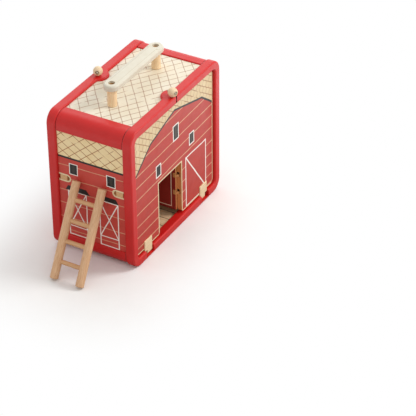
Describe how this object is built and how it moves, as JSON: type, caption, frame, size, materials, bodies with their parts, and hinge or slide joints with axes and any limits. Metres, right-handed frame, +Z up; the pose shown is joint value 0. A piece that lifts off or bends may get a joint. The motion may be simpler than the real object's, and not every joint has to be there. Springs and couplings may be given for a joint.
{
  "type": "toy barn",
  "caption": "Wooden carry-along toy barn whose long walls fold down on hinges, with a swinging inward door, an upper floor, a handle, bead closures and a loose ladder.",
  "frame": {"origin": "middle of the front frame's foot, on the ground, under the side with the doorway", "axes": "+Z up; +Y from the front, with the doorway, to the back; +X to the right, seen from the front; the ladder leans on the left end, at -X"},
  "size_m": [0.3961, 0.1706, 0.3119],
  "materials": {
    "red_lacquered_wood": "satin red lacquer on solid wood",
    "printed_plywood_red": "plywood with a printed red board pattern",
    "door_board": "plywood with a dark red print",
    "printed_plywood_cream": "plywood with a printed cream pattern",
    "loft_board": "birch plywood, clear matt lacquer",
    "cream_painted_wood": "cream paint on solid wood",
    "pale_wood": "bare pale hardwood",
    "beech": "bare beech, sanded smooth",
    "steel": "zinc-plated steel",
    "elastic_cord": "braided elastic"
  },
  "bodies": {
    "shell": {"front_frame": "red_lacquered_wood", "back_frame": "red_lacquered_wood", "frame_dowels": "beech", "roof_rail_left": "red_lacquered_wood", "roof_rail_right": "red_lacquered_wood", "floor_rail_left": "red_lacquered_wood", "floor_rail_right": "red_lacquered_wood", "roof_panel": "printed_plywood_cream", "floor_panel": "printed_plywood_cream", "end_panel_left": "printed_plywood_red", "end_panel_right": "printed_plywood_red", "loft_floor": "loft_board", "handle_bar": "cream_painted_wood", "handle_post_left": "beech", "handle_post_right": "beech", "handle_screws": "steel", "front_hinge_pins": "steel", "back_hinge_pins": "steel"},
    "front_wall": {"front_wall": "printed_plywood_red", "front_hinge_left": "pale_wood", "front_hinge_right": "pale_wood", "door_hinge_pins": "steel"},
    "back_wall": {"back_wall": "printed_plywood_red", "back_hinge_left": "pale_wood", "back_hinge_right": "pale_wood"},
    "door": {"door_leaf": "door_board", "door_hinge_lower": "pale_wood", "door_hinge_upper": "pale_wood"},
    "front_closure": {"front_bead": "beech", "front_cord": "elastic_cord"},
    "back_closure": {"back_bead": "beech", "back_cord": "elastic_cord"},
    "ladder": {"ladder_pole_front": "beech", "ladder_pole_back": "beech", "ladder_rung_1": "beech", "ladder_rung_2": "beech", "ladder_rung_3": "beech", "ladder_rung_4": "beech"}
  },
  "joints": [
    {"name": "front_wall_fold", "type": "hinge", "parent": "shell", "child": "front_wall", "pos_m": [0, -0.00125, 0.0078], "axis": [1, 0, 0], "range_deg": [0, 89.5]},
    {"name": "back_wall_fold", "type": "hinge", "parent": "shell", "child": "back_wall", "pos_m": [0, 0.14995, 0.0078], "axis": [-1, 0, 0], "range_deg": [0, 89.5]},
    {"name": "door_swing", "type": "hinge", "parent": "front_wall", "child": "door", "pos_m": [0.0236, 0.00425, 0.0599], "axis": [0, 0, 1], "range_deg": [-25, 90]},
    {"name": "front_bead_pull", "type": "slide", "parent": "front_wall", "child": "front_closure", "axis": [0, 0, 1], "range_m": [0, 0.01], "stiffness_N_per_m": 150},
    {"name": "back_bead_pull", "type": "slide", "parent": "back_wall", "child": "back_closure", "axis": [0, 0, 1], "range_m": [0, 0.01], "stiffness_N_per_m": 150},
    {"name": "ladder_lift_off", "type": "slide", "parent": "shell", "child": "ladder", "axis": [-1, 0, 0], "range_m": [0, 0.12]}
  ]
}
